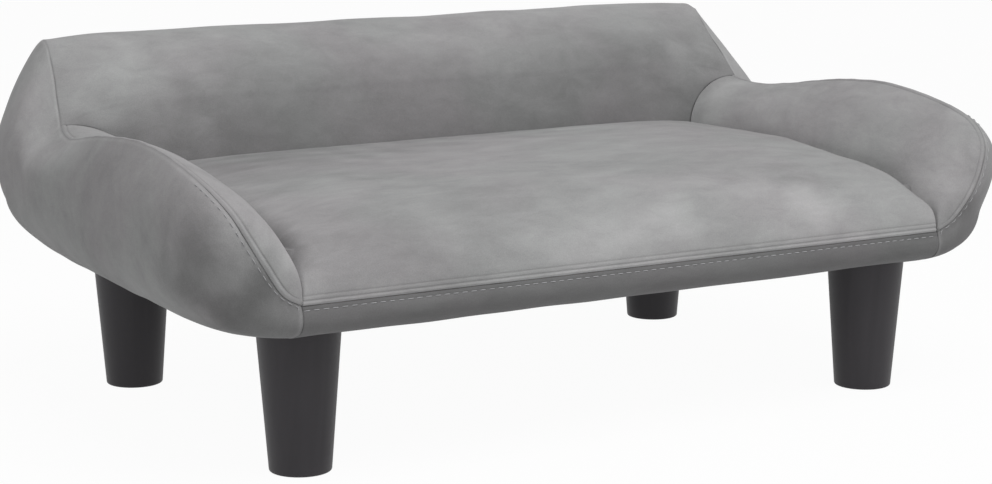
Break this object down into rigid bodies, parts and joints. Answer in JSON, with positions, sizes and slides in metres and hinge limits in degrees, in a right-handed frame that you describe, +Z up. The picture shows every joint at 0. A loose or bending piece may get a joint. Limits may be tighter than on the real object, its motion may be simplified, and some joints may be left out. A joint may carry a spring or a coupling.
{
  "type": "dog sofa bed",
  "caption": "Low upholstered sofa bed for a dog or cat: crowned seat, rounded backrest, two rolled arms and tapered screw-in legs.",
  "frame": {"origin": "on the floor under the middle of the body", "axes": "+X to the right seen from the front, +Y to the back, +Z up"},
  "size_m": [0.7, 0.4503, 0.2786],
  "materials": {
    "cover_velvet": "grey velvet with a short pile",
    "cushion_foam": "open-cell foam",
    "frame_plywood": "raw plywood",
    "panel_hardboard": "thin hardboard",
    "leg_paint": "matte near-black",
    "zinc_steel": "zinc plated",
    "dust_cloth": "black non-woven cloth"
  },
  "bodies": {
    "sofa": {"base_board": "frame_plywood", "front_rail": "frame_plywood", "rear_rail": "frame_plywood", "side_rail_left": "frame_plywood", "side_rail_right": "frame_plywood", "corner_blocks": "frame_plywood", "seat_deck": "frame_plywood", "arm_board_left": "frame_plywood", "arm_board_right": "frame_plywood", "back_board": "frame_plywood", "back_braces": "frame_plywood", "back_top_rail": "frame_plywood", "back_panel": "panel_hardboard", "frame_screws": "zinc_steel", "tee_nuts": "zinc_steel", "dust_cover": "dust_cloth", "seat_foam": "cushion_foam", "back_foam": "cushion_foam", "arm_foam_left": "cushion_foam", "arm_foam_right": "cushion_foam", "seat_cover": "cover_velvet", "front_band": "cover_velvet", "back_cover": "cover_velvet", "arm_inner_cover_left": "cover_velvet", "arm_inner_cover_right": "cover_velvet", "side_cover_left": "cover_velvet", "side_cover_right": "cover_velvet"},
    "leg_front_left": {"leg_front_left": "leg_paint", "leg_bolt_front_left": "zinc_steel"},
    "leg_front_right": {"leg_front_right": "leg_paint", "leg_bolt_front_right": "zinc_steel"},
    "leg_rear_left": {"leg_rear_left": "leg_paint", "leg_bolt_rear_left": "zinc_steel"},
    "leg_rear_right": {"leg_rear_right": "leg_paint", "leg_bolt_rear_right": "zinc_steel"}
  },
  "joints": [
    {"name": "leg_front_left_screw", "type": "hinge", "parent": "sofa", "child": "leg_front_left", "pos_m": [-0.2503, -0.1629, 0], "axis": [0, 0, 1], "range_deg": [-2880, 0]},
    {"name": "leg_front_right_screw", "type": "hinge", "parent": "sofa", "child": "leg_front_right", "pos_m": [0.2503, -0.1629, 0], "axis": [0, 0, 1], "range_deg": [-2880, 0]},
    {"name": "leg_rear_left_screw", "type": "hinge", "parent": "sofa", "child": "leg_rear_left", "pos_m": [-0.2503, 0.1389, 0], "axis": [0, 0, 1], "range_deg": [-2880, 0]},
    {"name": "leg_rear_right_screw", "type": "hinge", "parent": "sofa", "child": "leg_rear_right", "pos_m": [0.2503, 0.1389, 0], "axis": [0, 0, 1], "range_deg": [-2880, 0]}
  ]
}
